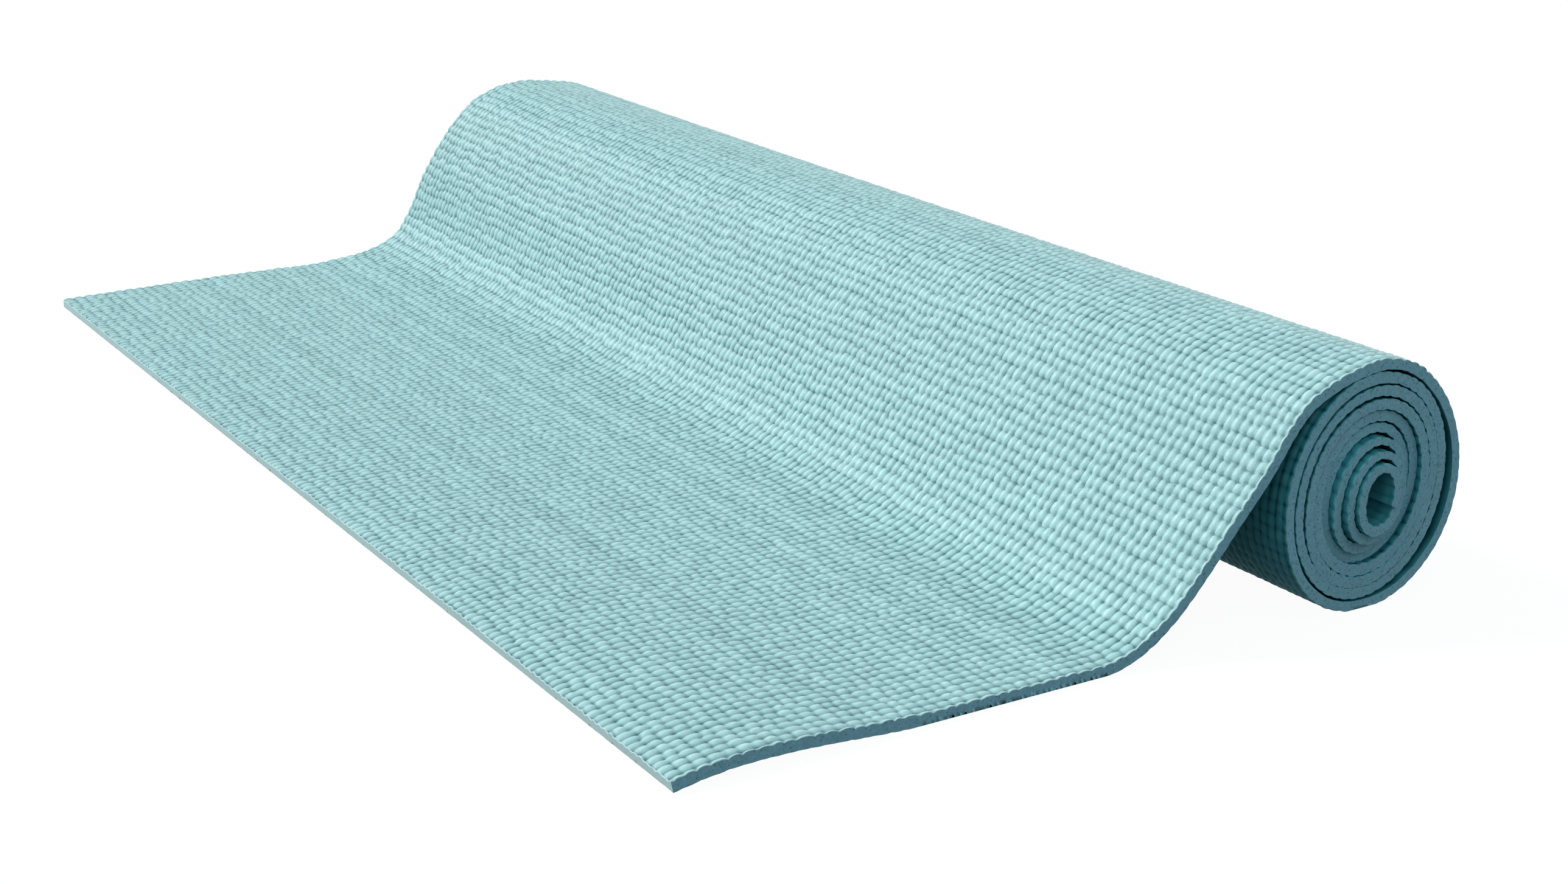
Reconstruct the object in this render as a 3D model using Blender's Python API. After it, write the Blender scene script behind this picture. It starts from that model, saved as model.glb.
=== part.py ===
"""Yoga mat: one laminated foam sheet, wound on itself, with its free end laid out on the floor.

X runs from the free end towards the roll, Y runs along the roll, Z is up. The origin is the middle of the
part's footprint. The sheet is described by the path of its face, the side that is up on the flap and
outside on the roll. The path differs a little between the near end and the far end of the mat.
Every layer is a band at its own depth behind that path.
"""
import math

import bpy
import numpy as np
from mathutils import Vector

MM = 0.001

# The sheet and its layers
MAT_WIDTH = 610.0 * MM
FACE_FOAM = 1.6 * MM
SCRIM = 0.3 * MM
BACK_FOAM = 1.6 * MM
LAYER_GAP = 0.1 * MM
SHEET = FACE_FOAM + SCRIM + BACK_FOAM + 2.0 * LAYER_GAP

# The running gap left where the modelled sheet is divided to bend
BEND_GAP = 0.3 * MM

# The flap on the floor, from the free end to the foot of the rise, in its three bending lengths
FLAP_END_LENGTH = 50.0 * MM
FLAP_MIDDLE_LENGTH = 48.0 * MM
FLAP_INNER_LENGTH = 62.0 * MM
FLAP_NEAR_LENGTH = FLAP_END_LENGTH + FLAP_MIDDLE_LENGTH + FLAP_INNER_LENGTH
# At the far end of the mat the sheet begins to rise earlier, and lies a little off the floor
FAR_EARLIER = 32.0 * MM
FLAP_FAR_LENGTH = FLAP_NEAR_LENGTH - FAR_EARLIER
ARCH_LENGTH = FLAP_END_LENGTH + FLAP_MIDDLE_LENGTH
ARCH_NEAR_HEIGHT = 3.3 * MM
FAR_LIFT = 2.9 * MM

# The winding: an oval spiral whose middle drifts from the outer turn to the core
TURNS = 8.2
TURN_GAP = 0.8 * MM
TURN_PITCH = SHEET + TURN_GAP
CORE_RADIUS = 8.0 * MM
ROLL_RADIUS = CORE_RADIUS + TURNS * TURN_PITCH
ROLL_OVAL = 2.2 * MM
CORE_OVAL = 1.4 * MM
CORE_DRIFT_X = 1.2 * MM
CORE_DRIFT_Z = -1.6 * MM
# The outer turn stands off the next one on the side away from the flap
LOOSE_TURN = 4.0 * MM
LOOSE_FROM = math.radians(30.0)
LOOSE_SPAN = math.radians(165.0)
# At the far end of the mat the top of the roll stands a little higher
FAR_BULGE = 1.8 * MM
FAR_BULGE_SPAN = math.radians(70.0)

# Where the roll stands, and how deep the floor flattens it
RISE_RUN = 119.4 * MM
FLOOR_CUT = 0.5 * MM
ROLL_X = FLAP_NEAR_LENGTH + RISE_RUN

# The rise from the foot to the top of the roll, in shares of its run and of its height
RISE_NEAR_SHARES = (
    (0.092, 0.015), (0.184, 0.069), (0.276, 0.165), (0.369, 0.303), (0.469, 0.467), (0.570, 0.628),
    (0.657, 0.795), (0.724, 0.886), (0.821, 0.948), (0.913, 0.984),
)
RISE_FAR_SHARES = (
    (0.114, 0.015), (0.172, 0.027), (0.229, 0.047), (0.287, 0.079), (0.349, 0.145), (0.386, 0.231),
    (0.423, 0.354), (0.448, 0.457), (0.499, 0.609), (0.535, 0.699), (0.596, 0.829), (0.668, 0.934),
    (0.717, 0.973), (0.765, 1.003), (0.862, 1.022), (0.951, 1.011),
)

# Where the sheet bends, measured along it from the free end
END_BEND = FLAP_END_LENGTH
MIDDLE_BEND = END_BEND + FLAP_MIDDLE_LENGTH
FOOT_BEND = MIDDLE_BEND + FLAP_INNER_LENGTH

# How finely each stretch is divided
FLAP_STEP = 14.0 * MM
RISE_STEPS = 26
SIDES_PER_TURN = 32
DENSE_PER_TURN = 180
DENSE_RUN = 400


def underside(distance, far):
    """Height of the flap's underside over the floor.

    Near end: share * (1 - share)^2, greatest at a third of the arch. Far end: a quarter wave.
    """
    if far:
        return FAR_LIFT * np.sin(0.5 * math.pi * distance / FLAP_FAR_LENGTH)
    share = np.clip(distance / ARCH_LENGTH, 0.0, 1.0)
    return ARCH_NEAR_HEIGHT * (27.0 / 4.0) * share * (1.0 - share) ** 2


def winding_shape(angle, far):
    """Points of the face along the winding, about the middle of its outer turn.

    The angle is 0 at the top and grows clockwise and inwards. The radius is an oval that shrinks by
    one pitch a turn, plus the looseness of the outer turn, plus the far end's bulge.
    """
    turn = angle / (2.0 * math.pi)
    share = turn / TURNS
    oval = ROLL_OVAL + (CORE_OVAL - ROLL_OVAL) * share
    radius = ROLL_RADIUS - TURN_PITCH * turn + oval * np.cos(2.0 * angle)
    loose = np.clip((angle - LOOSE_FROM) / LOOSE_SPAN, 0.0, 1.0)
    radius = radius + LOOSE_TURN * np.sin(math.pi * loose) ** 2
    if far:
        fade = np.clip(angle / FAR_BULGE_SPAN, 0.0, 1.0)
        radius = radius + FAR_BULGE * np.cos(0.5 * math.pi * fade) ** 2
    x = CORE_DRIFT_X * share + radius * np.sin(angle)
    z = CORE_DRIFT_Z * share + radius * np.cos(angle)
    return np.stack([x, z], axis=1)


OUTER_TURN = np.linspace(0.0, 2.0 * math.pi, DENSE_PER_TURN)
ROLL_Z = -winding_shape(OUTER_TURN, False)[:, 1].min() - FLOOR_CUT


def winding(angle, far):
    """Points of the face along the winding, where the roll stands."""
    return winding_shape(angle, far) + np.array([ROLL_X, ROLL_Z])


def smooth_through(points, start_slope, end_slope, count):
    """A cubic curve through the points, with the given directions at its two ends."""
    points = np.asarray(points)
    steps = np.linalg.norm(np.diff(points, axis=0), axis=1)
    knots = np.concatenate([[0.0], np.cumsum(steps)])
    slopes = np.empty_like(points)
    slopes[1:-1] = (points[2:] - points[:-2]) / (knots[2:] - knots[:-2])[:, None]
    slopes[0] = start_slope
    slopes[-1] = end_slope
    where = np.linspace(0.0, knots[-1], count)
    low = np.clip(np.searchsorted(knots, where, side="right") - 1, 0, len(steps) - 1)
    width = steps[low][:, None]
    t = ((where - knots[low]) / steps[low])[:, None]
    a, b = points[low], points[low + 1]
    p, q = slopes[low] * width, slopes[low + 1] * width
    return (a * (1 + 2 * t) * (1 - t) ** 2 + p * t * (1 - t) ** 2
            + b * t * t * (3 - 2 * t) - q * t * t * (1 - t))


def run_path(far):
    """The face from the free end to the top of the roll, as closely spaced points."""
    length = FLAP_FAR_LENGTH if far else FLAP_NEAR_LENGTH
    shares = RISE_FAR_SHARES if far else RISE_NEAR_SHARES
    distance = np.linspace(0.0, length, DENSE_RUN)
    flap = np.stack([distance, underside(distance, far) + SHEET], axis=1)
    top = winding(np.zeros(1), far)[0]
    foot = flap[-1]
    points = [foot] + [foot + (top - foot) * np.array(pair) for pair in shares] + [top]
    level = np.array([1.0, 0.0])
    rise = smooth_through(points, level, level, DENSE_RUN)
    return np.vstack([flap, rise[1:]])


def lengths(path):
    """Distance along a path at each of its points."""
    return np.concatenate([[0.0], np.cumsum(np.linalg.norm(np.diff(path, axis=0), axis=1))])


class Sheet:
    """The face path of one end of the mat, read by distance along the sheet."""

    def __init__(self, far, run_length=None):
        run = run_path(far)
        along = lengths(run)
        self.run_length = run_length or along[-1]
        along = along * (self.run_length / along[-1])
        angle = np.linspace(0.0, TURNS * 2.0 * math.pi, int(TURNS * DENSE_PER_TURN) + 1)
        coil = winding(angle, far)
        self.path = np.vstack([run, coil[1:]])
        near_coil = lengths(winding(angle, False))
        self.along = np.concatenate([along, self.run_length + near_coil[1:]])
        self.angle = angle
        self.coil_along = self.run_length + near_coil
        tangent = np.gradient(self.path, axis=0)
        tangent /= np.linalg.norm(tangent, axis=1)[:, None]
        self.outward = np.stack([-tangent[:, 1], tangent[:, 0]], axis=1)

    def at(self, distance, depth):
        """Points at a depth behind the face, kept flat where they would sink into the floor."""
        point = np.stack([np.interp(distance, self.along, self.path[:, i]) for i in (0, 1)], axis=1)
        normal = np.stack([np.interp(distance, self.along, self.outward[:, i]) for i in (0, 1)], axis=1)
        point = point - depth * normal / np.linalg.norm(normal, axis=1)[:, None]
        point[:, 1] = np.maximum(point[:, 1], 0.0)
        return point

    def angle_to_distance(self, angle):
        return np.interp(angle, self.angle, self.coil_along)


NEAR = Sheet(False)
FAR = Sheet(True, NEAR.run_length)
MAT_LENGTH = NEAR.along[-1]
TOP_BEND = NEAR.run_length

WHOLE_X = np.concatenate([NEAR.path[:, 0], FAR.path[:, 0]])
MIDDLE_X = 0.5 * (WHOLE_X.max() + WHOLE_X.min())

LAYERS = (
    ("face_foam", 0.0, FACE_FOAM, (0.33, 0.58, 0.60, 1.0)),
    ("scrim", FACE_FOAM + LAYER_GAP, FACE_FOAM + LAYER_GAP + SCRIM, (0.75, 0.80, 0.80, 1.0)),
    ("back_foam", SHEET - BACK_FOAM, SHEET, (0.30, 0.54, 0.56, 1.0)),
)


def flap_stations(start, end):
    """Even distances along the flat and the rising stretches."""
    return np.linspace(start, end, max(2, int(round((end - start) / FLAP_STEP)) + 1))


def roll_stations(start):
    """One distance for each side of a turn, but none between the two edges of the flat on the floor."""
    sides = np.arange(1, int(TURNS * SIDES_PER_TURN)) * (2.0 * math.pi / SIDES_PER_TURN)
    flat = OUTER_TURN[winding(OUTER_TURN, False)[:, 1] < 0.0]
    sides = sides[(sides < flat[0]) | (sides > flat[-1])]
    angles = np.sort(np.concatenate([sides, [flat[0], flat[-1], TURNS * 2.0 * math.pi]]))
    inner = NEAR.angle_to_distance(angles)
    return np.concatenate([[start], inner[inner > start + FACE_FOAM]])


def band(name, stations, front, back, colour, bend):
    """One layer of one stretch of the sheet, as a closed band between its near and its far end face.

    The sides twist a little from end to end, so they are split along the same diagonal in every layer:
    that keeps the layers parallel, which an extrusion with free diagonals does not. The points are
    measured from the bend that carries the stretch.
    """
    lines = (NEAR.at(stations, front), NEAR.at(stations, back), FAR.at(stations, front), FAR.at(stations, back))
    count = len(stations)
    half = 0.5 * MAT_WIDTH
    middle = bend.matrix_world.translation
    verts = []
    for line, side in zip(lines, (-half, -half, half, half)):
        verts += [(x - MIDDLE_X - middle.x, side - middle.y, z - middle.z) for x, z in line]
    near_front, near_back, far_front, far_back = (range(k * count, (k + 1) * count) for k in range(4))
    faces = []
    for i in range(count - 1):
        j = i + 1
        faces.append((near_front[i], near_back[i], near_back[j], near_front[j]))
        faces.append((far_front[i], far_front[j], far_back[j], far_back[i]))
        faces.append((near_front[i], near_front[j], far_front[j]))
        faces.append((near_front[i], far_front[j], far_front[i]))
        faces.append((near_back[i], far_back[j], near_back[j]))
        faces.append((near_back[i], far_back[i], far_back[j]))
    faces.append((near_front[0], far_front[0], far_back[0]))
    faces.append((near_front[0], far_back[0], near_back[0]))
    faces.append((near_front[-1], far_back[-1], far_front[-1]))
    faces.append((near_front[-1], near_back[-1], far_back[-1]))
    mesh = bpy.data.meshes.new(name)
    mesh.from_pydata(verts, [], faces)
    mesh.update()
    for face in mesh.polygons:
        face.use_smooth = abs(face.normal.y) < 0.9
    thing = bpy.data.objects.new(name, mesh)
    thing.data.materials.append(layer_material(name, colour))
    thing.parent = bend
    bend.users_collection[0].objects.link(thing)


def layer_material(name, colour):
    """A Principled material in the colour of the layer."""
    material = bpy.data.materials.new(name)
    material.use_nodes = True
    shader = material.node_tree.nodes["Principled BSDF"]
    shader.inputs["Base Color"].default_value = colour
    shader.inputs["Roughness"].default_value = 0.75
    shader.inputs["Metallic"].default_value = 0.0
    material.diffuse_color = colour
    return material


def bend_axis(distance):
    """The line across the mat, on its face, that the sheet bends about at a distance."""
    near = NEAR.at(np.array([distance]), 0.0)[0]
    far = FAR.at(np.array([distance]), 0.0)[0]
    a = np.array([near[0] - MIDDLE_X, -0.5 * MAT_WIDTH, near[1]])
    b = np.array([far[0] - MIDDLE_X, 0.5 * MAT_WIDTH, far[1]])
    return 0.5 * (a + b), (b - a) / np.linalg.norm(b - a)


def bend_empty(name, distance, parent, collection):
    """An empty on the line that the sheet bends about, carried by the next bend towards the roll."""
    empty = bpy.data.objects.new(name, None)
    empty.empty_display_size = SHEET
    place = Vector(bend_axis(distance)[0])
    empty.parent = parent
    empty.location = place - parent.matrix_world.translation if parent else place
    collection.objects.link(empty)
    bpy.context.view_layer.update()
    return empty


def least_gap():
    """The least distance between the back of one turn and the face of the turn inside it."""
    turns = NEAR.coil_along
    back = NEAR.at(turns, SHEET)
    face = NEAR.at(turns, 0.0)
    least = math.inf
    for i, point in enumerate(back):
        first = i + DENSE_PER_TURN // 2
        if first < len(face):
            least = min(least, np.linalg.norm(face[first:] - point, axis=1).min())
    return least


def main():
    for thing in list(bpy.data.objects):
        bpy.data.objects.remove(thing, do_unlink=True)
    collection = bpy.data.collections.new("yoga_mat")
    bpy.context.scene.collection.children.link(collection)

    top = bend_empty("top_bend", TOP_BEND, None, collection)
    foot = bend_empty("foot_bend", FOOT_BEND, top, collection)
    middle = bend_empty("middle_bend", MIDDLE_BEND, foot, collection)
    end = bend_empty("end_bend", END_BEND, middle, collection)
    half = 0.5 * BEND_GAP
    stretches = (
        ("flap_end", flap_stations(0.0, END_BEND - half), end),
        ("flap_middle", flap_stations(END_BEND + half, MIDDLE_BEND - half), middle),
        ("flap_inner", flap_stations(MIDDLE_BEND + half, FOOT_BEND - half), foot),
        ("rise", np.linspace(FOOT_BEND + half, TOP_BEND - half, RISE_STEPS + 1), top),
        ("roll", roll_stations(TOP_BEND + half), top),
    )
    for stretch, stations, bend in stretches:
        for layer, front, back, colour in LAYERS:
            band(stretch + "_" + layer, stations, front, back, colour, bend)

    print("sheet length mm", round(MAT_LENGTH / MM, 1), "thickness mm", round(SHEET / MM, 2))
    print("least gap between turns mm", round(least_gap() / MM, 3))
    for name, distance in (("end", END_BEND), ("middle", MIDDLE_BEND), ("foot", FOOT_BEND), ("top", TOP_BEND)):
        place, axis = bend_axis(distance)
        print("bend", name, "at", np.round(place, 5).tolist(), "axis", np.round(axis, 6).tolist())


main()
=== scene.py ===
# A yoga mat, mostly rolled up, with its free end laid out on the floor
import math

import bmesh
import bpy
import numpy as np
from mathutils import Matrix, Vector


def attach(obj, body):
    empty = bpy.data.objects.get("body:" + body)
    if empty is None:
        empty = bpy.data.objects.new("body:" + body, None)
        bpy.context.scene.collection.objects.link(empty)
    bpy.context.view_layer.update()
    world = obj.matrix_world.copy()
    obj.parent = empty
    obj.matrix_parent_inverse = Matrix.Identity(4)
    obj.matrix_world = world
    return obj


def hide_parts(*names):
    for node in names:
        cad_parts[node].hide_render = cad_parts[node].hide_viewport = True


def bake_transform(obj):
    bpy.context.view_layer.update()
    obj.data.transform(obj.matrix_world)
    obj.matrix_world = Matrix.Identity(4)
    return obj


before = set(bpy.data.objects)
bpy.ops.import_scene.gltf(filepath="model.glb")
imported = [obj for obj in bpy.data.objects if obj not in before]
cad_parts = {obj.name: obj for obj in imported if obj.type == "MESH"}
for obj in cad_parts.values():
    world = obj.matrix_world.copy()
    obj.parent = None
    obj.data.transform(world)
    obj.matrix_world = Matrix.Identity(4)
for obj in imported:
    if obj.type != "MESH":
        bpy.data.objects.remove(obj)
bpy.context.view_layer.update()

mm = 0.001
fullTurn = 2 * math.pi

# The sheet as it lies: the path that its solids follow, with the pressed inner turns a little further out
mat = {
    "width": 610 * mm,
    "thickness": 3.7 * mm,
    "flapLength": 160 * mm,
    "farEarlier": 32 * mm,   # how much sooner the sheet leaves the floor at the far end
    "archLength": 98 * mm,   # low arch under the free end, at the near end alone
    "archHeight": 3.3 * mm,
    "farLift": 2.9 * mm,     # how high the far end has risen where its rise begins
    "riseRun": 119.4 * mm,
    "turns": 8.2,
    "innerEnd": 0.14,        # turns that the inner end reaches on into the hole
    "turnPitch": 4.5 * mm,
    "coreRadius": 8 * mm,
    "rollOval": 2.2 * mm,
    "coreOval": 1.3 * mm,
    "coreSpread": 2.8 * mm,  # how much further out the pressed inner turns end than even ones would
    "coreDriftX": 1.2 * mm,
    "coreDriftZ": -1.6 * mm,
    "looseTurn": 4 * mm,
    "looseFrom": math.radians(30),
    "looseSpan": math.radians(165),
    "farBulge": 1.8 * mm,
    "farBulgeSpan": math.radians(70),
    "floorCut": 0.5 * mm,    # how far the round roll would sink into the floor, which flattens it
    "runSamples": 400,
    "turnSamples": 180,
    # the rise from its foot to the top of the roll, in shares of its run and height
    "riseNear": [(0.092, 0.015), (0.184, 0.069), (0.276, 0.165), (0.369, 0.303), (0.469, 0.467),
                 (0.570, 0.628), (0.657, 0.795), (0.724, 0.886), (0.821, 0.948), (0.913, 0.984)],
    "riseFar": [(0.114, 0.015), (0.172, 0.027), (0.229, 0.047), (0.287, 0.079), (0.349, 0.145),
                (0.386, 0.231), (0.423, 0.354), (0.448, 0.457), (0.499, 0.609), (0.535, 0.699),
                (0.596, 0.829), (0.668, 0.934), (0.717, 0.973), (0.765, 1.003), (0.862, 1.022),
                (0.951, 1.011)],
}


# The oval spiral: radius falls one pitch a turn, plus cos(2a) oval, plus a square that sets the inner turns
# further out, plus a sine-squared loose outer turn, plus at the far end a cosine-squared bulge
def windingShape(angle, far):
    turn = angle / fullTurn
    share = turn / mat["turns"]
    outer = mat["coreRadius"] + mat["turns"] * mat["turnPitch"]
    oval = mat["rollOval"] + (mat["coreOval"] - mat["rollOval"]) * share
    radius = outer - mat["turnPitch"] * turn + oval * np.cos(2 * angle)
    radius = radius + mat["coreSpread"] * np.clip((turn - 1) / (mat["turns"] - 1), 0, 2) ** 2
    loose = np.clip((angle - mat["looseFrom"]) / mat["looseSpan"], 0, 1)
    radius = radius + mat["looseTurn"] * np.sin(math.pi * loose) ** 2
    if far:
        fade = np.clip(angle / mat["farBulgeSpan"], 0, 1)
        radius = radius + mat["farBulge"] * np.cos(0.5 * math.pi * fade) ** 2
    x = mat["coreDriftX"] * share + radius * np.sin(angle)
    z = mat["coreDriftZ"] * share + radius * np.cos(angle)
    return np.stack([x, z], axis=1)


# Cubic curve through points, its inner slopes taken between each point's two neighbours
def smoothThrough(points, slope, count):
    points = np.asarray(points)
    steps = np.linalg.norm(np.diff(points, axis=0), axis=1)
    knots = np.concatenate([[0], np.cumsum(steps)])
    slopes = np.empty_like(points)
    slopes[1:-1] = (points[2:] - points[:-2]) / (knots[2:] - knots[:-2])[:, None]
    slopes[0] = slopes[-1] = slope
    where = np.linspace(0, knots[-1], count)
    low = np.clip(np.searchsorted(knots, where, side="right") - 1, 0, len(steps) - 1)
    t = ((where - knots[low]) / steps[low])[:, None]
    a, b = points[low], points[low + 1]
    p, q = slopes[low] * steps[low][:, None], slopes[low + 1] * steps[low][:, None]
    leaving = a * (1 + 2 * t) * (1 - t) ** 2 + p * t * (1 - t) ** 2
    return leaving + b * t * t * (3 - 2 * t) - q * t * t * (1 - t)


# Distance along a path at each of its points: running sum of the steps
def runLengths(path):
    return np.concatenate([[0], np.cumsum(np.linalg.norm(np.diff(path, axis=0), axis=1))])


# One end's face path, from the free end over the rise and round the winding, with its outward normals. The
# flap lies on a cubic arch at the near end and on a quarter sine at the far end.
def facePath(far, rollAt, runLength=None):
    length = mat["flapLength"] - (mat["farEarlier"] if far else 0)
    distance = np.linspace(0, length, mat["runSamples"])
    if far:
        under = mat["farLift"] * np.sin(0.5 * math.pi * distance / length)
    else:
        share = np.clip(distance / mat["archLength"], 0, 1)
        toOne = 27 / 4       # brings the cubic's highest value to 1
        under = mat["archHeight"] * toOne * share * (1 - share) ** 2
    flap = np.stack([distance, under + mat["thickness"]], axis=1)
    lastAngle = (mat["turns"] + mat["innerEnd"]) * fullTurn
    angle = np.linspace(0, lastAngle, int(mat["turns"] * mat["turnSamples"]) + 1)
    coil = windingShape(angle, far) + rollAt
    foot, top = flap[-1], coil[0]
    shares = mat["riseFar"] if far else mat["riseNear"]
    points = [foot] + [foot + (top - foot) * np.array(pair) for pair in shares] + [top]
    level = np.array([1.0, 0.0])
    run = np.vstack([flap, smoothThrough(points, level, mat["runSamples"])[1:]])
    along = runLengths(run)
    runLength = runLength or along[-1]
    path = np.vstack([run, coil[1:]])
    coilAlong = runLength + runLengths(windingShape(angle, False))
    tangent = np.gradient(path, axis=0)
    tangent /= np.linalg.norm(tangent, axis=1)[:, None]
    return {
        "path": path,
        "along": np.concatenate([along * runLength / along[-1], coilAlong[1:]]),
        "outward": np.stack([-tangent[:, 1], tangent[:, 0]], axis=1),
        "angle": angle,
        "coilAlong": coilAlong,
        "runLength": runLength,
    }


circle = np.linspace(0, fullTurn, mat["turnSamples"])
lowest = windingShape(circle, False)[:, 1].min()
rollAt = np.array([mat["flapLength"] + mat["riseRun"], -lowest - mat["floorCut"]])
nearPath = facePath(False, rollAt)
farPath = facePath(True, rollAt, nearPath["runLength"])
wholeX = np.concatenate([nearPath["path"][:, 0], farPath["path"][:, 0]])
middleX = 0.5 * (wholeX.max() + wholeX.min())
matLength = nearPath["along"][-1]
half = 0.5 * mat["width"]


# Distance along the sheet where the winding has turned by an angle
def atAngle(degrees):
    return float(np.interp(math.radians(degrees), nearPath["angle"], nearPath["coilAlong"]))


# How the turns have slipped endways and how loosely they lie, by turns from the outside
slip = {
    "turn": [0.0, 1.0, 3.3, 3.9, 4.5, 5.0, 5.5, 6.2, 6.9, 7.6, 8.2],
    # slip towards the far end, and what comes on top of it on the side that tiltTowards gives
    "shift": [s * mm for s in (0.0, 0.0, 0.0, 0.5, 1.6, 0.8, -0.8, -2.6, -3.8, -4.8, -5.2)],
    "tilt": [s * mm for s in (0.0, 0.0, 0.0, 0.5, 1.8, 2.6, 2.8, 2.4, 1.2, 0.4, 0.0)],
    "tiltTowards": math.radians(115),
    "loose": 0.18 * mm,      # how far a turn strays from an even spiral
    "looseWave": 60 * mm,
    "looseAfter": 1.1,       # turns from the outside where the straying begins
    "sag": 0.012,            # how much lower the roll lies halfway across, as a share of its height
    # where the pressed turns stand open, and how wide in mm
    "openTurn": [0.0, 0.02, 0.95, 1.05, 1.2, 1.3, 1.6, 1.7, 1.95, 2.05, 2.2, 2.3, 2.6, 2.7,
                 2.95, 3.1, 3.25, 3.6, 3.8, 3.95, 4.1, 4.25, 4.6, 4.75, 4.95, 5.05, 5.15, 5.3,
                 5.5, 5.65, 5.85, 6.0, 6.1, 6.2, 6.5, 6.65, 6.9, 7.0, 7.1, 7.25, 7.6, 8.2],
    "open": [0.0, 0.75, 0.75, 0.40, 0.35, 0.0, 0.0, 1.10, 1.00, 0.60, 0.50, 0.0, 0.0, 0.10,
             0.30, 0.25, 0.0, 0.0, 0.35, 0.25, 0.45, 0.0, 0.0, 0.40, 0.5, 1.3, 1.2, 0.0,
             0.3, 0.90, 0.6, 1.5, 1.4, 0.0, 0.1, 0.8, 0.6, 1.3, 1.2, 0.0, 0.1, 0.1],
}


# Point = near path to far path by the share of the width, moved out along the normal by lift, less the sag,
# which is a parabola over the width, and never under the floor
def sheetPoints(distance, across, lift):
    share = ((across + half) / mat["width"])[None, :, None]
    ends = []
    for end in (nearPath, farPath):
        place = [np.interp(distance, end["along"], end["path"][:, i]) for i in (0, 1)]
        out = [np.interp(distance, end["along"], end["outward"][:, i]) for i in (0, 1)]
        ends.append((np.stack(place, axis=1)[:, None, :], np.stack(out, axis=1)[:, None, :]))
    base = ends[0][0] * (1 - share) + ends[1][0] * share
    out = ends[0][1] * (1 - share) + ends[1][1] * share
    out = out / np.linalg.norm(out, axis=2, keepdims=True)
    flat = base + out * lift[:, :, None]
    angle = np.interp(distance, nearPath["coilAlong"], nearPath["angle"])
    turn = angle / fullTurn
    tilt = np.interp(turn, slip["turn"], slip["tilt"]) * (0.5 + 0.5 * np.cos(angle - slip["tiltTowards"]))
    shift = np.interp(turn, slip["turn"], slip["shift"]) + tilt
    y = across[None, :] + shift[:, None] + 0 * lift
    height = flat[:, :, 1] * (1 - slip["sag"] * 4 * share[:, :, 0] * (1 - share[:, :, 0]))
    return np.stack([flat[:, :, 0] - middleX, y, np.maximum(height, 0)], axis=2)


# How far the sheet strays outwards along the winding: smooth noise, faded in over one turn
def strayAt(distance):
    turn = np.interp(distance, nearPath["coilAlong"], nearPath["angle"]) / fullTurn
    oneLine = 0 * distance + 3.3
    wave = latticeNoise(distance / slip["looseWave"], oneLine, 3)
    return slip["loose"] * wave * np.clip(turn - slip["looseAfter"], 0, 1)


# Half the width of the open gap beside one side: the table read at the turn, a turn further out for the face
def openBeside(angle, side):
    turn = angle / fullTurn - (0 if side else 1)
    return 0.5 * mm * np.interp(turn, slip["openTurn"], slip["open"])


dice = np.random.RandomState(11)
tableRows, tableColumns = 512, 256
randomTables = dice.uniform(-1, 1, (4, tableRows, tableColumns))


# Smooth noise: four table values around a place, mixed with smoothstep weights
def latticeNoise(p, q, layer):
    table = randomTables[layer]
    i, j = np.floor(p).astype(int), np.floor(q).astype(int)
    u, v = p - i, q - j
    u, v = u * u * (3 - 2 * u), v * v * (3 - 2 * v)
    k, m = (i + 1) % tableRows, (j + 1) % tableColumns
    i, j = i % tableRows, j % tableColumns
    return (table[i, j] * (1 - u) + table[k, j] * u) * (1 - v) + (table[i, m] * (1 - u) + table[k, m] * u) * v


# The moulded texture of both faces
grain = {
    "along": 4.92 * mm,      # one grain along the mat's length
    "columns": 166,          # grains across the width
    "jitter": 0.12,          # how far a grain's side wanders, in grains
    "stagger": 0.22,         # how far its ends lie before or behind its neighbour's
    "staggerPace": 0.7,      # how quickly that changes along the mat
    "rowJitter": 0.09,       # how unevenly the rows are spaced, in grains
    "drift": 0.10,           # slow wander of whole patches, in grains
    "driftPace": (0.23, 0.13),
    "backPlace": 91.0,       # grains between the patterns of the face and of the back
    "powers": (2.8, 2.2),    # of the fall towards a grain's ends and towards its sides
    "depths": (0.60, 0.76),  # of that fall at its ends and at its sides
    "cornerGive": 0.36,      # how much less deep a corner is than both together
    "unlike": (0.12, 0.08),  # how much grains and whole rows differ in height
    "tallest": 1.2,
    # Lists over the angles round the roll. Where there are two, the first is for the face.
    "angles": [math.radians(a) for a in (0, 60, 300, 400, 2950)],
    "height": ([1.35 * mm, 0.50 * mm, 0.80 * mm, 0.60 * mm, 0.40 * mm],
               [0.50 * mm, 0.60 * mm, 0.60 * mm, 0.60 * mm, 0.60 * mm]),
    "crest": ([0.42, 0.50, 0.45, 0.92, 0.40],      # share of the height above the plain face
              [0.80, 0.70, 0.70, 0.92, 0.40]),
    "rim": ([0.30 * mm, 0.30 * mm, 0.30 * mm, 0.12 * mm, 0.12 * mm],
            [0.15 * mm, 0.15 * mm, 0.15 * mm, 0.12 * mm, 0.12 * mm]),
    "rimTone": [1.0, 1.0, 0.75, 0.45, 0.45],
}


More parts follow.
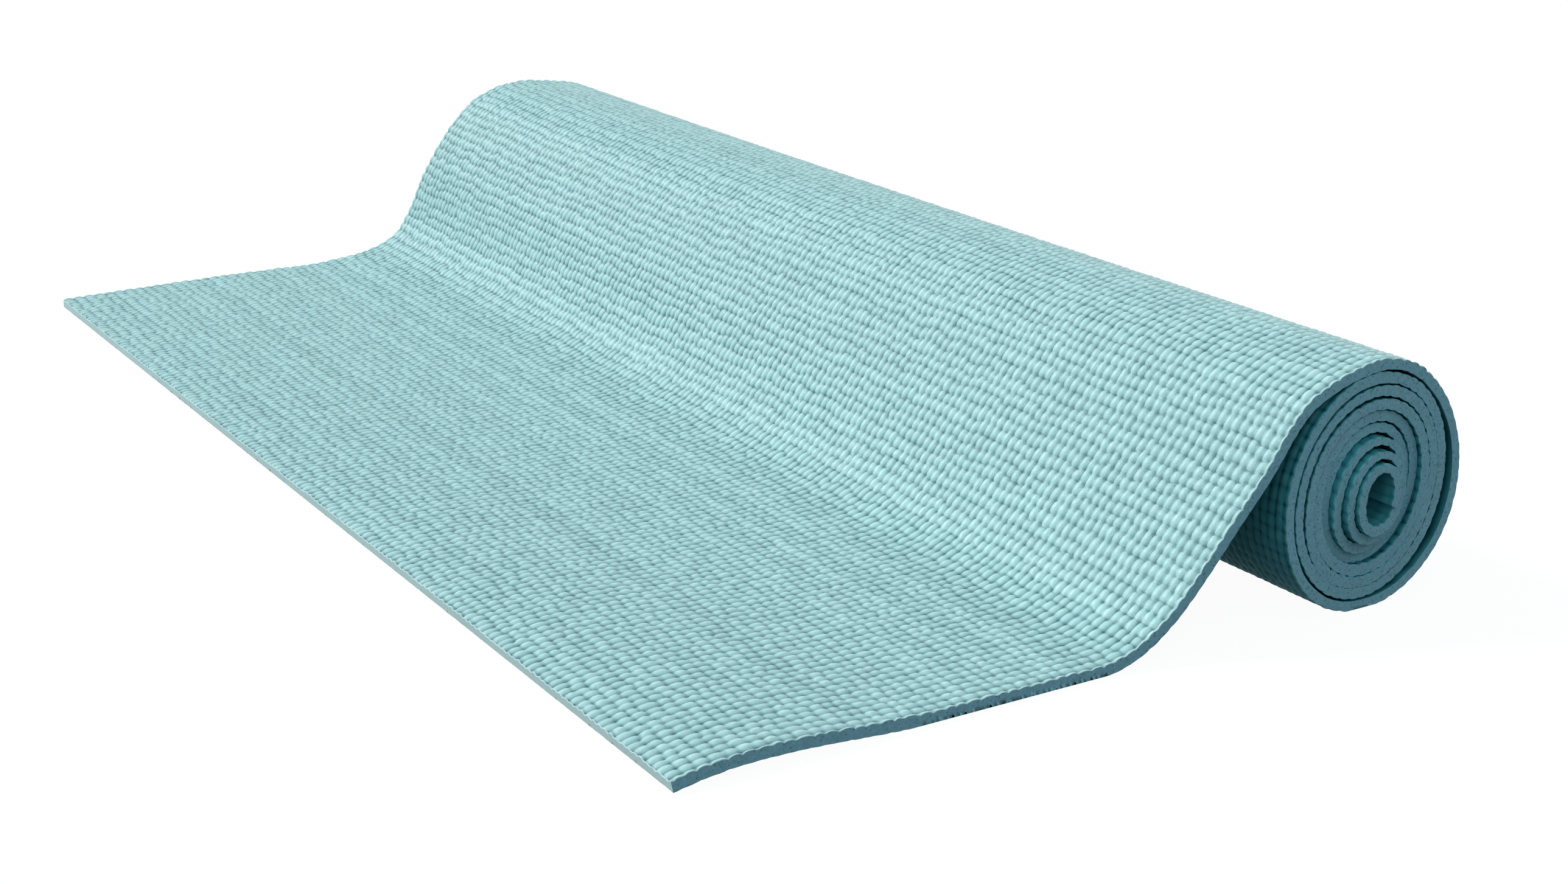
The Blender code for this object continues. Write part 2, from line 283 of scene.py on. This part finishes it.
# Height of the grains, 1 at a crest: it falls as a power of the distance to each border, the corners give
# some of both falls back, and each grain and each row is taller or lower by a random share
def relief(distance, across, side):
    p = np.broadcast_to((distance / grain["along"])[:, None], (len(distance), len(across)))
    q = np.broadcast_to(((across + half) / mat["width"] * grain["columns"] + 0.5)[None, :], p.shape)
    p = p + grain["backPlace"] * side
    oneLine = 0 * q + 7.5
    paceP, paceQ = grain["driftPace"]
    wanderP = grain["stagger"] * latticeNoise(p * grain["staggerPace"], q + 0.5, 0)
    wanderP = wanderP + grain["drift"] * latticeNoise(p * paceP, q * paceQ, 1)
    wanderP = wanderP + grain["rowJitter"] * latticeNoise(p, oneLine, 3)
    wanderQ = grain["jitter"] * latticeNoise(p + 0.5, q + 0.5, 1)
    p, q = p + wanderP, q + wanderQ
    row, column = np.floor(p).astype(int), np.floor(q).astype(int)
    a, b = 2 * (p - row) - 1, 2 * (q - column) - 1
    a, b = np.abs(a) ** grain["powers"][0], np.abs(b) ** grain["powers"][1]
    ofGrain, ofRow = grain["unlike"]
    tall = 1 + ofGrain * randomTables[2][row % tableRows, column % tableColumns]
    tall = tall + ofRow * randomTables[3][row % tableRows, 0 * column]
    height = 1 - grain["depths"][0] * a - grain["depths"][1] * b + grain["cornerGive"] * a * b
    return np.clip(height * tall, 0, grain["tallest"])


# Rounding of the rim: how far a face drops within one radius of a cut edge, as a quarter circle
def rimDrop(toEdge, rim):
    share = np.clip(1 - toEdge / rim, 0, 1)
    return rim * (1 - np.sqrt(1 - share ** 2))


# How closely the surfaces are sampled
sampling = {
    # samples in a grain along and across, for the face and for the back; no samples across means few ones
    "fine": ((5, 5), (3, 3)),
    "coarse": ((4, 4), (1, 1)),
    "plain": ((7, 0), (7, 0)),
    "rim": (0.0, 0.12, 0.35, 0.7, 1.0),          # shares of the rim's radius
    "rimClear": 1.4,                             # even samples keep this many radii away from a cut edge
    "fewRim": (0.0, 0.015, 0.05, 0.09, 0.12, 0.6, 1.5, 3.0, 6.0, 10.0),   # mm from a rim
    "fewMiddle": (0.9, 7),                       # share of the width between the rims, and samples there
    "wall": (0.0, 0.03, 0.5, 0.97),              # rows down a wall, in shares of the thickness
    "seam": 0.3 * mm,
    "weld": 0.000002,
    "needle": 0.000001,
}


# Evenly spread samples with extra ones close to the cut edges at either end
def samples(start, end, step, rimStart, rimEnd):
    inner = np.linspace(start, end, max(2, int(round((end - start) / step)) + 1))
    rim = grain["rim"][0][0] * np.array(sampling["rim"])
    clear = sampling["rimClear"] * rim[-1]
    if rimStart:
        inner = np.concatenate([start + rim, inner[inner > start + clear]])
    if rimEnd:
        inner = np.concatenate([inner[inner < end - clear], end - rim[::-1]])
    return inner


# Triangles of a grid of points: two for each of its cells
def gridTriangles(rows, columns, first):
    i, j = np.meshgrid(np.arange(rows - 1), np.arange(columns - 1), indexing="ij")
    a = (first + i * columns + j).ravel()
    b, c, d = a + 1, a + columns + 1, a + columns
    return np.concatenate([np.stack([a, b, c], axis=1), np.stack([a, c, d], axis=1)])


# Triangles between two rows of unlike counts: the rows' points are taken in order of their parameter
def zipTriangles(paramA, paramB, firstA, firstB):
    order = np.argsort(np.concatenate([paramA, paramB + 1e-9]), kind="stable")
    isA = order < len(paramA)
    a = np.cumsum(isA) - 1
    b = np.cumsum(~isA) - 1
    keep = (a >= 0) & (b >= 0) & (np.arange(len(order)) > 1)
    a, b, isA = a[keep], b[keep], isA[keep]
    third = np.where(isA, firstA + a - 1, firstB + b - 1)
    return np.stack([firstA + a, firstB + b, third], axis=1)


# A mesh object from point arrays, with the place on the sheet and the grain value (painted shade and light)
# on its points.
# Where seam gives a normal, it is kept, so that two pieces shade alike along the line where they meet.
def meshObject(name, chunks, triangles, finishes):
    points = np.concatenate([c["points"] for c in chunks]).astype(np.float32)
    kinds = np.concatenate([np.full(len(t), kind, dtype=np.int32) for t, kind in triangles])
    triangles = np.concatenate([t for t, kind in triangles]).astype(np.int32)
    mesh = bpy.data.meshes.new(name)
    mesh.vertices.add(len(points))
    mesh.vertices.foreach_set("co", points.ravel())
    mesh.loops.add(triangles.size)
    mesh.loops.foreach_set("vertex_index", triangles.ravel())
    mesh.polygons.add(len(triangles))
    mesh.polygons.foreach_set("loop_start", np.arange(0, triangles.size, 3, dtype=np.int32))
    for finish in finishes:
        mesh.materials.append(finish)
    mesh.polygons.foreach_set("material_index", kinds)
    mesh.update(calc_edges=True)
    for key in ("place", "seam", "grain"):
        values = np.concatenate([c[key] for c in chunks]).astype(np.float32)
        kind, field = ("FLOAT", "value") if values.ndim == 1 else ("FLOAT_VECTOR", "vector")
        layer = mesh.attributes.new(key, kind, "POINT")
        layer.data.foreach_set(field, values.ravel())
    work = bmesh.new()
    work.from_mesh(mesh)
    bmesh.ops.remove_doubles(work, verts=work.verts, dist=sampling["weld"])
    bmesh.ops.dissolve_degenerate(work, edges=work.edges, dist=sampling["needle"])
    bmesh.ops.recalc_face_normals(work, faces=work.faces)
    work.to_mesh(mesh)
    work.free()
    mesh.polygons.foreach_set("use_smooth", np.ones(len(mesh.polygons), dtype=bool))
    normals = np.empty(len(mesh.vertices) * 3, dtype=np.float32)
    mesh.attributes["seam"].data.foreach_get("vector", normals)
    mesh.normals_split_custom_set_from_vertices(normals.reshape(-1, 3).tolist())
    mesh.attributes.remove(mesh.attributes["seam"])
    thing = bpy.data.objects.new(name, mesh)
    bpy.context.scene.collection.objects.link(thing)
    return thing


# Points, place and grain value (painted shade and light) of one patch of the sheet; lift is measured outwards
# from the plain face
def patch(distance, across, lift, value):
    shape = (len(distance), len(across))
    points = sheetPoints(distance, across, lift + strayAt(distance)[:, None])
    place = np.stack([distance[:, None] + 0 * lift, across[None, :] + 0 * lift, -lift], axis=2)
    return {
        "points": points.reshape(-1, 3),
        "place": place.reshape(-1, 3),
        "seam": np.zeros((lift.size, 3)),
        "grain": np.broadcast_to(value, shape).ravel(),
    }


# The grain value that the materials colour by, with painted shade in the pits and between the turns and
# painted light on the crests. Its tables run over the radians round the roll.
shade = {
    "crest": 0.7,
    "rimPace": 8,            # how quickly a rim reaches its own tone
    "wall": 0.62,
    "pale": ([26, 34], [0, 0.22]),
    "paintedShadeDepth": 4 * mm,   # where the painted shade between the turns is full, from the cut edge
    # Painted shade between the turns: how far the grain value falls, for the face and for the back
    "paintedShadeFace": ([5.8, 6.4], [0, 0.85]),
    "paintedShadeBack": ([0.0, 0.6, 45.5, 46.5], [0, 0.85, 0.85, 0.35]),
}


# Grain value and lift of one side at its samples. The lift is the relief about the plain face, less the rim's
# rounding and half the open gap, and on the back it is turned round and lies a thickness behind the face.
# The grain value, which the materials turn into painted shade in the pits and painted light on the crests, is
# the larger of the relief's and the rim's own, plus a little towards the inner turns, and falls away from the
# rims between the turns as painted shade.
def sideLift(along, across, side, start, end, startCut, endCut):
    angle = np.interp(along, nearPath["coilAlong"], nearPath["angle"])
    high, crest, rim = [np.interp(angle, grain["angles"], grain[key][side])[:, None]
                        for key in ("height", "crest", "rim")]
    height = relief(along, across, side)
    toRim = np.minimum(half - across, half + across)[None, :]
    drop = rimDrop(toRim, rim)
    if startCut:
        drop = np.maximum(drop, rimDrop((along - start)[:, None], rim))
    if endCut:
        drop = np.maximum(drop, rimDrop((end - along)[:, None], rim))
    rimTone = np.interp(angle, grain["angles"], grain["rimTone"])[:, None]
    # Painted shade and light: the grain value follows the relief's height, dark in the pits and light on the
    # crests
    tone = np.maximum(shade["crest"] * height, rimTone * np.minimum(1, shade["rimPace"] * drop / rim))
    tone = tone + np.interp(angle, *shade["pale"])[:, None]
    # Painted shade: the grain value falls away from the cut edges between the turns inside the roll
    paintedGapShade = np.interp(angle, *shade["paintedShadeBack" if side else "paintedShadeFace"])[:, None]
    tone = tone * (1 - paintedGapShade * np.clip(toRim / shade["paintedShadeDepth"], 0, 1))
    lift = (height - 1 + crest) * high - drop - openBeside(angle, side)[:, None]
    return tone, -lift - mat["thickness"] if side else lift


# Normals of one side along a seam: the cross product of its slopes along and across the sheet
def seamNormals(distance, across, side):
    step = sampling["seam"]
    along = distance + np.array([-step, 0, step])
    lift = sideLift(along, across, side, 0, 0, False, False)[1]
    points = sheetPoints(along, across, lift + strayAt(along)[:, None])
    normal = np.cross(points[2] - points[0], np.gradient(points[1], axis=0)) * (-1 if side else 1)
    return normal / np.linalg.norm(normal, axis=1)[:, None]


# Samples across the sheet: even ones, or for no step, close ones at both rims and few between
def acrossSamples(perColumn):
    if perColumn:
        return samples(-half, half, mat["width"] / grain["columns"] / perColumn, True, True)
    rim = np.array(sampling["fewRim"]) * mm
    share, count = sampling["fewMiddle"]
    return np.concatenate([-half + rim, np.linspace(-share * half, share * half, count), half - rim[::-1]])


# One stretch of the sheet, closed: both grained faces and four walls, at both rims and at its start and
# end. A wall's rows go down from the face, each a share of the way to the back, and the last is
# zipped to the back's own samples.
def sheetPiece(name, start, end, steps, finishes, startCut=False, endCut=False):
    ends = ((start, startCut), (end, endCut))
    chunks, triangles, sides = [], [], []
    first = 0
    for side, (perRow, perColumn) in enumerate(steps):
        along = samples(start, end, grain["along"] / perRow, startCut, endCut)
        across = acrossSamples(perColumn)
        tone, lift = sideLift(along, across, side, start, end, startCut, endCut)
        sides.append((along, across, lift, tone))
        chunk = patch(along, across, lift, tone)
        if not startCut:
            chunk["seam"][:len(across)] = seamNormals(start, across, side)
        if not endCut:
            chunk["seam"][-len(across):] = seamNormals(end, across, side)
        chunks.append(chunk)
        triangles.append((gridTriangles(len(along), len(across), first), 2 * side))
        first += len(along) * len(across)
    (along, across, faceLift, faceTone), (backAlong, backAcross, backLift, backTone) = sides
    walls = (("near", 0, True), ("far", -1, True), ("start", 0, startCut), ("end", -1, endCut))
    for wall, edge, isCut in walls:
        isRim = wall in ("near", "far")
        if isRim:
            front, back = faceLift[:, edge], np.interp(along, backAlong, backLift[:, edge])
            tone, faceParam, backParam = faceTone[:, [edge]], along, backAlong
            rows = [(along, across[[edge]], (front * (1 - s) + back * s)[:, None]) for s in sampling["wall"]]
            last = (backAlong, backAcross[[edge]], backLift[:, [edge]], backTone[:, [edge]])
        else:
            front, back = faceLift[edge], np.interp(across, backAcross, backLift[edge])
            tone, faceParam, backParam = faceTone[[edge]], across, backAcross
            rows = [(along[[edge]], across, (front * (1 - s) + back * s)[None, :]) for s in sampling["wall"]]
            last = (backAlong[[edge]], backAcross, backLift[[edge]], backTone[[edge]])
        kind = 0 if wall == "start" and startCut else 1
        sideways = np.array([0, -1.0, 0]) if wall == "near" else np.array([0, 1.0, 0])
        for k, row in enumerate(rows):
            chunk = patch(*row, shade["wall"] if k else tone)
            seam = chunk["seam"]
            if isRim and k == 0:
                seam[[0, -1]] = [seamNormals(d, across, 0)[edge] * (not cut) for d, cut in ends]
            elif isRim:
                seam[[0, -1]] = [sideways * (not cut) for d, cut in ends]
            elif not isCut and k == 0:
                seam[:] = seamNormals(along[edge], across, 0)
            elif not isCut:
                seam[[0, -1]] = [(0, -1, 0), (0, 1, 0)]
            chunks.append(chunk)
        triangles.append((gridTriangles(len(rows), len(faceParam), first), kind))
        first += len(rows) * len(faceParam)
        chunk = patch(*last)
        if isRim:
            chunk["seam"][[0, -1]] = [seamNormals(d, backAcross, 1)[edge] * (not cut) for d, cut in ends]
        elif not isCut:
            chunk["seam"][:] = seamNormals(backAlong[edge], backAcross, 1)
        chunks.append(chunk)
        triangles.append((zipTriangles(faceParam, backParam, first - len(faceParam), first), kind))
        first += len(backParam)
    thing = meshObject(name, chunks, triangles, finishes)
    print("piece", name, "triangles", len(thing.data.polygons))
    return thing


# What all parts of the foam share: scales per metre, ranges from low to high
foam = {
    "noises": ((2600.0, 2.0), (900.0, 2.0), (45.0, 4.0)),   # scale and detail, the last for the tone
    "toneRange": (0.94, 1.06),
    "poreScale": 620.0,
    "poreEdge": (0.10, 0.30),
    "heightRange": (0.7, 1.3),   # of the two skin noises added up, over which the mottle runs
    "coatRoughness": 0.2,
    "sheenRoughness": 0.4,
    "bumpStrength": 0.8,
}

# How each part of the foam looks. Its ramp: grain value and colour of pit, skin, crest, and the pale band at
# a rim
# The dark pit colour is painted shade in the hollows of the relief, and the lighter crest colour is painted
# light on its tops
foamLooks = {
    "teal foam skin": {
        "colourAndPaintedLight": [(0.12, (0.028, 0.122, 0.142, 1)), (0.46, (0.350, 0.562, 0.558, 1)),
                  (0.72, (0.476, 0.694, 0.676, 1)), (1.00, (0.660, 0.840, 0.840, 1))],
        "roughness": 0.42, "specular": 0.22, "coat": 0.06, "sheen": 0.40,
        "bump": 0.00012, "mottle": (0.96, 1.04),
    },
    "teal foam reverse": {
        "colourAndPaintedLight": [(0.12, (0.020, 0.110, 0.130, 1)), (0.46, (0.265, 0.480, 0.490, 1)),
                  (0.72, (0.380, 0.610, 0.605, 1)), (1.00, (0.560, 0.790, 0.790, 1))],
        "roughness": 0.70, "specular": 0.04, "coat": 0.0, "sheen": 0.10,
        "bump": 0.00009, "mottle": (0.96, 1.04),
    },
    # A darker copy of the skin, as painted shade for the roll's lower outer turn, its inner turns and the
    # backs of its turns
    "teal foam painted shade": {
        "colourAndPaintedLight": [(0.06, (0.004, 0.050, 0.065, 1)), (0.36, (0.050, 0.300, 0.350, 1)),
                  (0.70, (0.100, 0.400, 0.450, 1)), (1.00, (0.330, 0.640, 0.680, 1))],
        "roughness": 0.60, "specular": 0.06, "coat": 0.0, "sheen": 0.0,
        "bump": 0.00009, "mottle": (0.96, 1.04),
    },
    "teal foam cut": {
        "cut": (0.330, 0.610, 0.710, 1), "pore": (0.150, 0.330, 0.400, 1),
        "roughness": 0.65, "specular": 0.12, "coat": 0.0, "sheen": 0.0,
        "bump": 0.00014, "mottle": (0.82, 1.15),
    },
}


# A value carried from one range to another in a straight line
def mapRange(nodes, links, value, fromRange, toRange):
    mapped = nodes.new("ShaderNodeMapRange")
    mapped.inputs["From Min"].default_value = fromRange[0]
    mapped.inputs["From Max"].default_value = fromRange[1]
    mapped.inputs["To Min"].default_value = toRange[0]
    mapped.inputs["To Max"].default_value = toRange[1]
    links.new(value, mapped.inputs["Value"])
    return mapped.outputs["Result"]


# Fine skin of the foam: two noises of unlike size added up as a height, a slow one as a tone, cells as pores
def foamSkinGroup():
    group = bpy.data.node_groups.new("foamSkin", "ShaderNodeTree")
    group.interface.new_socket("Vector", in_out="INPUT", socket_type="NodeSocketVector")
    group.interface.new_socket("Height", in_out="OUTPUT", socket_type="NodeSocketFloat")
    group.interface.new_socket("Tone", in_out="OUTPUT", socket_type="NodeSocketFloat")
    group.interface.new_socket("Pores", in_out="OUTPUT", socket_type="NodeSocketFloat")
    nodes, links = group.nodes, group.links
    source = nodes.new("NodeGroupInput")
    out = nodes.new("NodeGroupOutput")
    noises = []
    for scale, detail in foam["noises"]:
        noise = nodes.new("ShaderNodeTexNoise")
        noise.inputs["Scale"].default_value = scale
        noise.inputs["Detail"].default_value = detail
        links.new(source.outputs["Vector"], noise.inputs["Vector"])
        noises.append(noise.outputs["Fac"])
    both = nodes.new("ShaderNodeMath")
    both.operation = "ADD"
    links.new(noises[0], both.inputs[0])
    links.new(noises[1], both.inputs[1])
    links.new(both.outputs[0], out.inputs["Height"])
    links.new(noises[2], out.inputs["Tone"])
    cells = nodes.new("ShaderNodeTexVoronoi")
    cells.inputs["Scale"].default_value = foam["poreScale"]
    links.new(source.outputs["Vector"], cells.inputs["Vector"])
    pores = mapRange(nodes, links, cells.outputs["Distance"], foam["poreEdge"], (1.0, 0.0))
    links.new(pores, out.inputs["Pores"])
    return group


# Foam colour: pit to skin to crest by the grain value, which paints shade into the pits and light onto the
# crests, or for a cut face its colour with dark pores. It is then multiplied by the slow tone and by the
# mottle.
def foamMaterial(name, skin):
    look = foamLooks[name]
    material = bpy.data.materials.new(name)
    material.use_nodes = True
    nodes, links = material.node_tree.nodes, material.node_tree.links
    shader = nodes["Principled BSDF"]
    shader.inputs["Roughness"].default_value = look["roughness"]
    shader.inputs["Specular IOR Level"].default_value = look["specular"]
    shader.inputs["Coat Weight"].default_value = look["coat"]
    shader.inputs["Coat Roughness"].default_value = foam["coatRoughness"]
    shader.inputs["Sheen Weight"].default_value = look["sheen"]
    shader.inputs["Sheen Roughness"].default_value = foam["sheenRoughness"]
    place = nodes.new("ShaderNodeAttribute")
    place.attribute_name = "place"
    effect = nodes.new("ShaderNodeGroup")
    effect.node_tree = skin
    links.new(place.outputs["Vector"], effect.inputs["Vector"])
    # The ramp paints shade into the pits and light onto the crests, with the skin colour between
    if "colourAndPaintedLight" in look:
        height = nodes.new("ShaderNodeAttribute")
        height.attribute_name = "grain"
        ramp = nodes.new("ShaderNodeValToRGB")
        steps = ramp.color_ramp.elements
        while len(steps) < len(look["colourAndPaintedLight"]):
            steps.new(1.0)
        for step, (value, tint) in zip(steps, look["colourAndPaintedLight"]):
            step.position = value
            step.color = tint
        links.new(height.outputs["Fac"], ramp.inputs["Fac"])
        colour = ramp.outputs["Color"]
    else:
        pored = nodes.new("ShaderNodeMix")
        pored.data_type = "RGBA"
        pored.inputs["A"].default_value = look["cut"]
        pored.inputs["B"].default_value = look["pore"]
        links.new(effect.outputs["Pores"], pored.inputs["Factor"])
        colour = pored.outputs["Result"]
    tone = mapRange(nodes, links, effect.outputs["Tone"], (0.0, 1.0), foam["toneRange"])
    mottle = mapRange(nodes, links, effect.outputs["Height"], foam["heightRange"], look["mottle"])
    for factor in (tone, mottle):
        scaled = nodes.new("ShaderNodeVectorMath")
        scaled.operation = "SCALE"
        links.new(colour, scaled.inputs[0])
        links.new(factor, scaled.inputs["Scale"])
        colour = scaled.outputs["Vector"]
    links.new(colour, shader.inputs["Base Color"])
    bump = nodes.new("ShaderNodeBump")
    bump.inputs["Distance"].default_value = look["bump"]
    bump.inputs["Strength"].default_value = foam["bumpStrength"]
    links.new(effect.outputs["Height"], bump.inputs["Height"])
    links.new(bump.outputs["Normal"], shader.inputs["Normal"])
    return material


studio = {
    "horizonLevel": 0.13,
    "zenithLevel": 0.64,
    "leftLevel": 0.60,
    "skyTint": (0.78, 1.0, 1.08),
    "sunLevel": 2.25,
    "sunFrom": (-0.52, 0.45, 0.73),
    "sunSize": math.radians(9),
    "floorHalf": 30.0,
    "floorDrop": 0.4 * mm,
    "floorTint": (0.045, 0.055, 0.058, 1),
    "floorGlow": 0.96,
}


# 1 for the rays that are to see plain white: the largest of the camera, gloss and transmission flags
def whiteRays(nodes, links):
    rays = nodes.new("ShaderNodeLightPath")
    seen = rays.outputs["Is Camera Ray"]
    for other in ("Is Glossy Ray", "Is Transmission Ray"):
        more = nodes.new("ShaderNodeMath")
        more.operation = "MAXIMUM"
        links.new(seen, more.inputs[0])
        links.new(rays.outputs[other], more.inputs[1])
        seen = more.outputs[0]
    return seen


# A floor that glows nearly white to the camera and to reflections, plus a dark diffuse part for the shadow
def floorMaterial():
    material = bpy.data.materials.new("floorWhite")
    material.use_nodes = True
    nodes, links = material.node_tree.nodes, material.node_tree.links
    nodes.remove(nodes["Principled BSDF"])
    diffuse = nodes.new("ShaderNodeBsdfDiffuse")
    diffuse.inputs["Color"].default_value = studio["floorTint"]
    glow = nodes.new("ShaderNodeEmission")
    dim = nodes.new("ShaderNodeMath")
    dim.operation = "MULTIPLY"
    dim.inputs[1].default_value = studio["floorGlow"]
    links.new(whiteRays(nodes, links), dim.inputs[0])
    links.new(dim.outputs[0], glow.inputs["Strength"])
    both = nodes.new("ShaderNodeAddShader")
    links.new(diffuse.outputs[0], both.inputs[0])
    links.new(glow.outputs[0], both.inputs[1])
    links.new(both.outputs[0], nodes["Material Output"].inputs["Surface"])
    return material


# World: white where the camera or a reflection sees it, otherwise pale light that grows with the height in
# the sky, plus a broad light that grows towards the left
def buildStudio():
    scene = bpy.context.scene
    world = bpy.data.worlds.new("studio")
    scene.world = world
    world.use_nodes = True
    nodes, links = world.node_tree.nodes, world.node_tree.links
    background = nodes["Background"]
    seen = whiteRays(nodes, links)
    tint = nodes.new("ShaderNodeMix")
    tint.data_type = "RGBA"
    tint.inputs["A"].default_value = (*studio["skyTint"], 1)
    tint.inputs["B"].default_value = (1, 1, 1, 1)
    links.new(seen, tint.inputs["Factor"])
    links.new(tint.outputs["Result"], background.inputs["Color"])
    direction = nodes.new("ShaderNodeTexCoord")
    parts = nodes.new("ShaderNodeSeparateXYZ")
    links.new(direction.outputs["Generated"], parts.inputs["Vector"])
    skyRange = (studio["horizonLevel"], studio["zenithLevel"])
    sky = mapRange(nodes, links, parts.outputs["Z"], (0.0, 1.0), skyRange)
    left = mapRange(nodes, links, parts.outputs["X"], (0.0, -1.0), (0.0, studio["leftLevel"]))
    total = nodes.new("ShaderNodeMath")
    total.operation = "ADD"
    links.new(sky, total.inputs[0])
    links.new(left, total.inputs[1])
    level = nodes.new("ShaderNodeMix")
    level.inputs["B"].default_value = 1.0
    links.new(seen, level.inputs["Factor"])
    links.new(total.outputs[0], level.inputs["A"])
    links.new(level.outputs["Result"], background.inputs["Strength"])
    sun = bpy.data.lights.new("key", "SUN")
    sun.energy = studio["sunLevel"]
    sun.angle = studio["sunSize"]
    lamp = bpy.data.objects.new("key", sun)
    lamp.rotation_euler = Vector(studio["sunFrom"]).to_track_quat("Z", "Y").to_euler()
    scene.collection.objects.link(lamp)
    size, drop = studio["floorHalf"], studio["floorDrop"]
    corners = [(-size, -size, -drop), (size, -size, -drop), (size, size, -drop), (-size, size, -drop)]
    mesh = bpy.data.meshes.new("floor")
    mesh.from_pydata(corners, [], [(0, 1, 2, 3)])
    mesh.materials.append(floorMaterial())
    floor = bpy.data.objects.new("floor", mesh)
    scene.collection.objects.link(floor)
    scene.view_settings.view_transform = "Standard"


photo = {
    "width": 2576,
    "focal": 3733,
    "sensor": 36,
    "from": (-0.4600, -0.8170, 0.3059),
    "yaw": math.radians(33.12),
    "pitch": math.radians(18.48),
    "roll": math.radians(1.36),
    "nearest": 0.01,
}


# Camera axes: forward from yaw and pitch, right and up turned about it by the roll
def buildCamera():
    yaw, pitch, roll = photo["yaw"], photo["pitch"], photo["roll"]
    ahead = Vector((math.sin(yaw) * math.cos(pitch), math.cos(yaw) * math.cos(pitch), -math.sin(pitch)))
    right = Vector((math.cos(yaw), -math.sin(yaw), 0))
    up = right.cross(ahead)
    turnedRight = math.cos(roll) * right + math.sin(roll) * up
    turnedUp = -math.sin(roll) * right + math.cos(roll) * up
    lens = bpy.data.cameras.new("camera")
    lens.sensor_width = photo["sensor"]
    lens.lens = photo["focal"] / photo["width"] * photo["sensor"]
    lens.clip_start = photo["nearest"]
    camera = bpy.data.objects.new("camera", lens)
    turn = Matrix((turnedRight, turnedUp, -ahead)).transposed()
    camera.matrix_world = Matrix.Translation(photo["from"]) @ turn.to_4x4()
    bpy.context.scene.collection.objects.link(camera)
    bpy.context.scene.camera = camera


# Where the sheet is cut into pieces, and each bend's hinge with how far the bend reaches before and after it
cuts = {
    "grains": (0, 15, 25, 40, 53, 69),     # counted from the free end
    "upperEnd": 188,                       # degrees round the roll
    "lowerEnd": 372,
    "bends": {"end": 50 * mm, "middle": 98 * mm, "foot": 160 * mm, "top": nearPath["runLength"]},
    "reach": {"end": (18 * mm, 12 * mm), "middle": (16 * mm, 11 * mm),
              "foot": (26 * mm, 16 * mm), "top": (34 * mm, 14 * mm)},
}


# The whole sheet, piece by piece: a piece that rides on one body is attached to it, and one listed with the
# two bodies it bends between is left unattached
def buildSheet():
    skin = foamSkinGroup()
    shown, reverse, under, cutFace = [foamMaterial(name, skin) for name in foamLooks]
    fine, coarse, plain = sampling["fine"], sampling["coarse"], sampling["plain"]
    row = grain["along"]
    seams = [count * row for count in cuts["grains"]]
    outerMiddle = row * round(atAngle(cuts["upperEnd"]) / row)
    innerStart = atAngle(cuts["lowerEnd"])
    pieces = [
        ("flapEnd", seams[0], seams[1], fine, ("flap_end", "flap_middle", "end"), ("flap_end",)),
        ("flapMiddle", seams[1], seams[2], fine, ("flap_middle", "flap_inner", "middle"), ("flap_middle",)),
        ("flapInner", seams[2], seams[3], fine, ("flap_inner", "rise", "foot"), ("flap_inner",)),
        ("riseFace", seams[3], seams[4], fine, "rise", ("rise",)),
        ("riseTop", seams[4], seams[5], fine, ("rise", "roll", "top"), ()),
        ("outerTurnUpper", seams[5], outerMiddle, coarse, "roll", ("roll",)),
        ("outerTurnLower", outerMiddle, innerStart, coarse, "roll", ()),
        ("innerTurns", innerStart, matLength, plain, "roll", ()),
    ]
    for name, start, end, steps, body, stands in pieces:
        isInner = name == "innerTurns"
        # The lower outer turn, the inner turns and the backs of all roll pieces take the darker copy of the
        # skin: painted shade
        front = under if name in ("outerTurnLower", "innerTurns") else shown
        finishes = [front, cutFace, under if body == "roll" else reverse]
        thing = sheetPiece(name, start, end, steps, finishes, startCut=start == 0, endCut=isInner)
        if isinstance(body, str):
            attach(thing, body)
        else:
            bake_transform(thing)
        for stretch in stands:
            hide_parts(*[stretch + "_" + layer for layer in ("face_foam", "scrim", "back_foam")])


print("building the studio and camera")
buildStudio()
buildCamera()
print("building the sheet")
buildSheet()
print("done")
